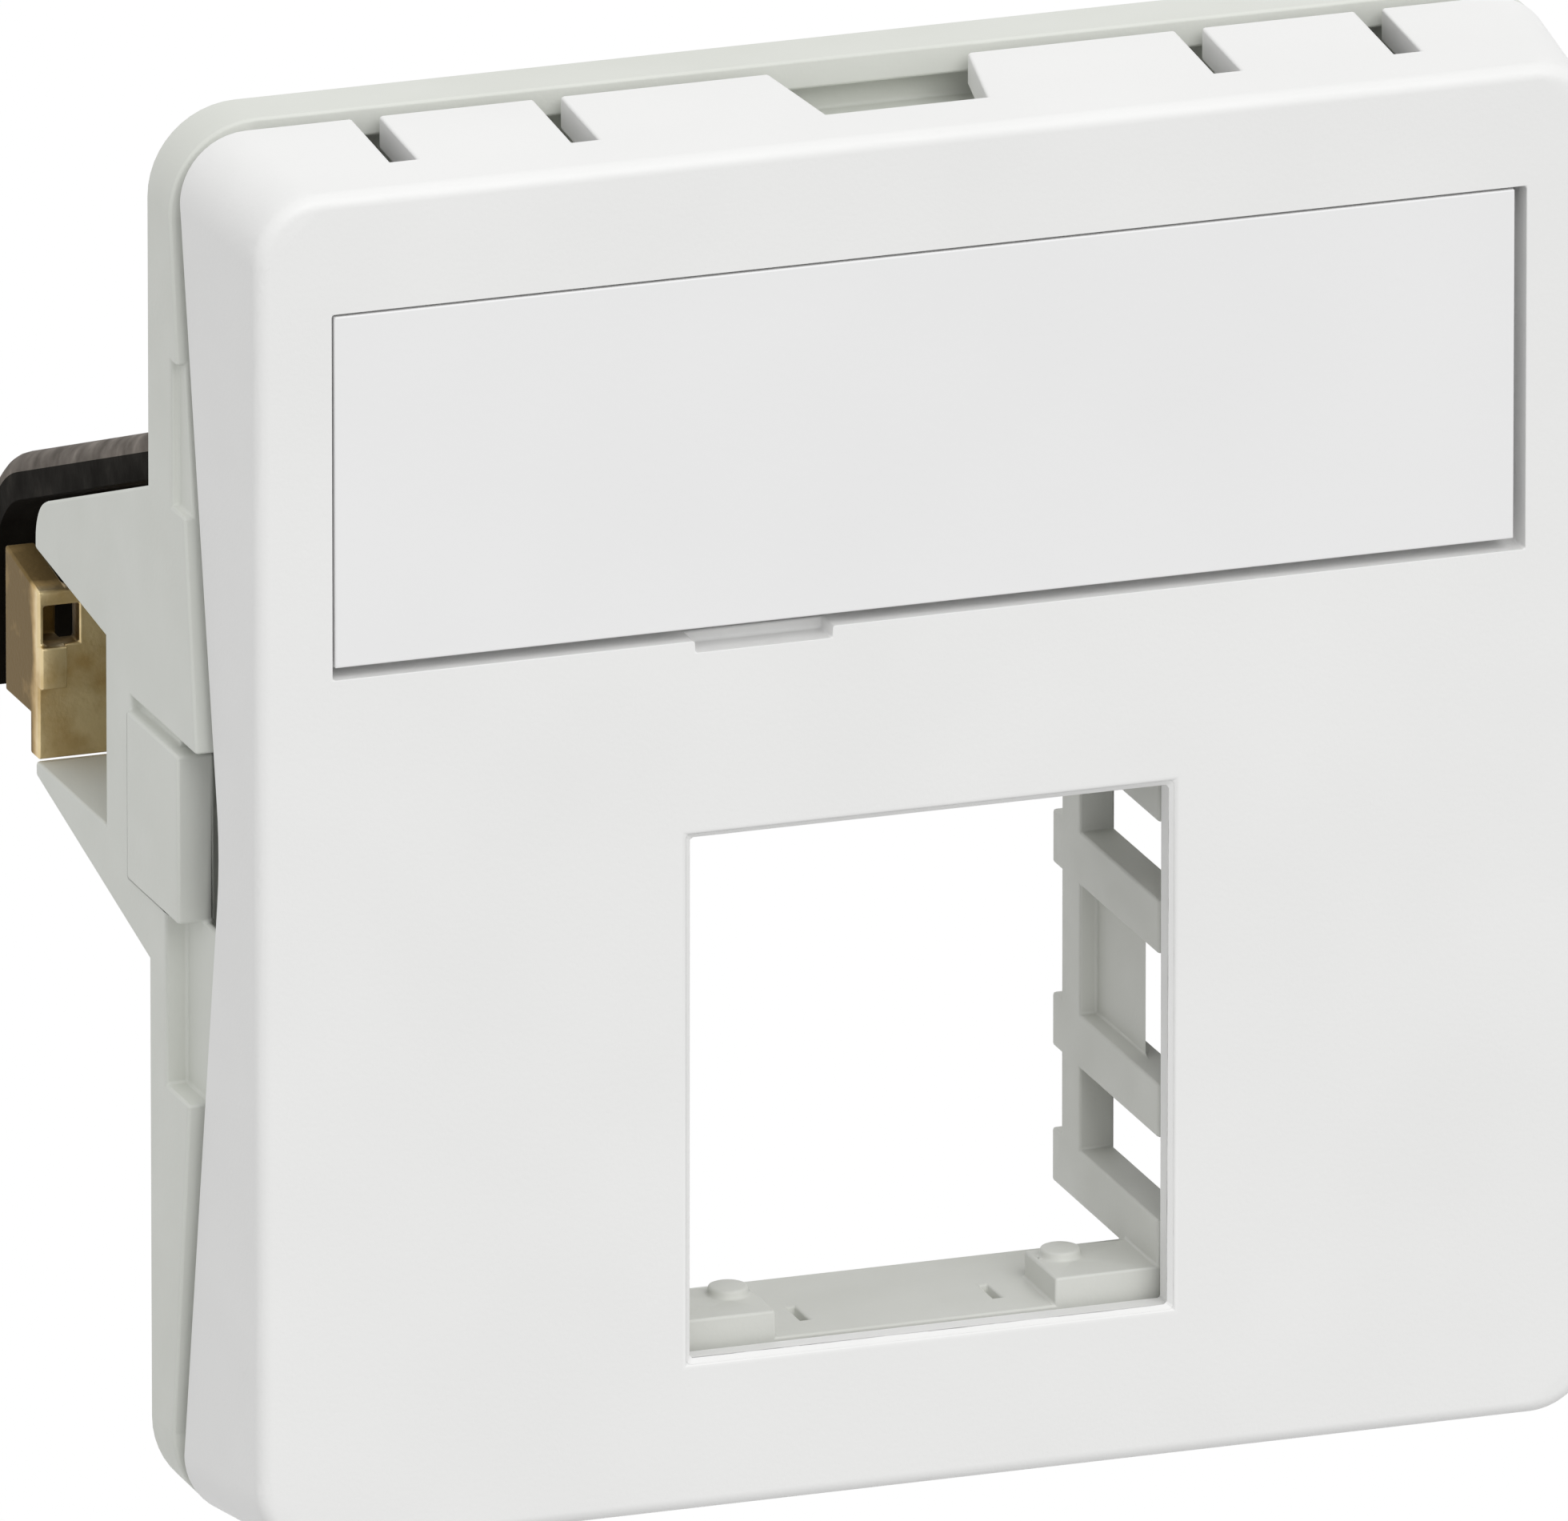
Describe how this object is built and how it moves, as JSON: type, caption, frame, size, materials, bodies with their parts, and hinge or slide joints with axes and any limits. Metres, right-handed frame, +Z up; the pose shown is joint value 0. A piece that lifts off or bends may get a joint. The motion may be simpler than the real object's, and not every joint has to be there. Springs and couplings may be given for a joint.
{
  "type": "wall plate",
  "caption": "Square data outlet insert with a straight-sided clip-on cover, a lift-out label plate, an open connector window and screw-drawn claws behind its base.",
  "frame": {"origin": "centre of the square base, on the base's rear face", "axes": "+Z up, the front faces -Y, +X to the right of someone who looks at the front"},
  "size_m": [0.0468, 0.0297, 0.0464],
  "materials": {
    "cover_plastic": "fine satin moulded white",
    "label_plastic": "smooth satin moulded white",
    "frame_plastic": "matt moulded off-white",
    "claw_brass": "raw stamped brass, dulled",
    "bow_steel": "blackened spring steel",
    "screw_steel": "zinc plated"
  },
  "bodies": {
    "base": {"base_frame": "frame_plastic", "connector_carrier": "frame_plastic", "claw_bow_left": "bow_steel", "claw_bow_right": "bow_steel"},
    "cover": {"front_cover": "cover_plastic"},
    "label": {"label_plate": "label_plastic"},
    "screw_left": {"claw_screw_left": "screw_steel"},
    "screw_right": {"claw_screw_right": "screw_steel"},
    "nut_left": {"claw_nut_left": "claw_brass"},
    "nut_right": {"claw_nut_right": "claw_brass"}
  },
  "joints": [
    {"name": "cover_pull", "type": "slide", "parent": "base", "child": "cover", "axis": [0, -1, 0], "range_m": [0, 0.015]},
    {"name": "label_lift", "type": "slide", "parent": "cover", "child": "label", "axis": [0, -1, 0], "range_m": [0, 0.006]},
    {"name": "left_screw_turn", "type": "hinge", "parent": "base", "child": "screw_left", "pos_m": [-0.0176, 0, 0.0017], "axis": [0, 1, 0], "range_deg": [0, 3960]},
    {"name": "right_screw_turn", "type": "hinge", "parent": "base", "child": "screw_right", "pos_m": [0.0176, 0, 0.0017], "axis": [0, 1, 0], "range_deg": [0, 3960]},
    {"name": "left_claw_draw", "type": "slide", "parent": "base", "child": "nut_left", "axis": [0, -1, 0], "range_m": [0, 0.0055]},
    {"name": "right_claw_draw", "type": "slide", "parent": "base", "child": "nut_right", "axis": [0, -1, 0], "range_m": [0, 0.0055]}
  ],
  "couplings": [
    {"joint": "left_screw_turn", "follows": "left_claw_draw", "rad_per_m": 12566},
    {"joint": "right_screw_turn", "follows": "right_claw_draw", "rad_per_m": 12566}
  ]
}
